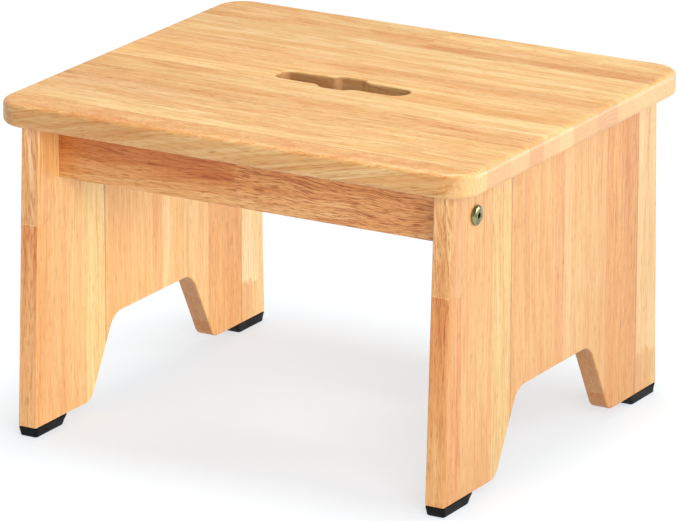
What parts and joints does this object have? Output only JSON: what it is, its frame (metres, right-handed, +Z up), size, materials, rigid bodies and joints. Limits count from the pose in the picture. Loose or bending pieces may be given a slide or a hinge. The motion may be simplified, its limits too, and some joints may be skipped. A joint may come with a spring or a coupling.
{
  "type": "step stool",
  "caption": "Low wooden step stool: rounded seat board with a hand slot, two arched side panels, rails between them and black rubber feet.",
  "frame": {"origin": "on the floor, under the middle of the seat", "axes": "+X to the stool's right, along the seat's long side; +Y to its back; +Z up"},
  "size_m": [0.376, 0.328, 0.2452],
  "materials": {
    "seat_wood": "satin clear lacquer on edge-glued pale hardwood",
    "panel_wood": "satin clear lacquer on edge-glued pale hardwood, grain upright",
    "rail_wood": "satin clear lacquer, grain along the rail",
    "dowel_wood": "bare beech, glued in",
    "foot_rubber": "matt black",
    "yellow_zinc": "yellow zinc plated steel",
    "screw_steel": "bright zinc plated steel"
  },
  "bodies": {
    "root": {"seat_top": "seat_wood", "left_side_panel": "panel_wood", "right_side_panel": "panel_wood", "front_rail": "rail_wood", "back_rail": "rail_wood", "front_left_foot": "foot_rubber", "front_left_foot_screw": "screw_steel", "front_rail_left_screw": "screw_steel", "seat_front_left_dowel": "dowel_wood", "front_rail_left_lower_dowel": "dowel_wood", "front_right_foot": "foot_rubber", "front_right_foot_screw": "screw_steel", "front_rail_right_screw": "screw_steel", "seat_front_right_dowel": "dowel_wood", "front_rail_right_lower_dowel": "dowel_wood", "back_left_foot": "foot_rubber", "back_left_foot_screw": "screw_steel", "back_rail_left_screw": "screw_steel", "seat_back_left_dowel": "dowel_wood", "back_rail_left_lower_dowel": "dowel_wood", "back_right_foot": "foot_rubber", "back_right_foot_screw": "screw_steel", "back_rail_right_screw": "screw_steel", "seat_back_right_dowel": "dowel_wood", "back_rail_right_lower_dowel": "dowel_wood", "back_rail_left_upper_dowel": "dowel_wood", "left_connector_bolt": "yellow_zinc", "left_barrel_nut": "screw_steel", "back_rail_right_upper_dowel": "dowel_wood", "right_connector_bolt": "yellow_zinc", "right_barrel_nut": "screw_steel"}
  },
  "joints": []
}
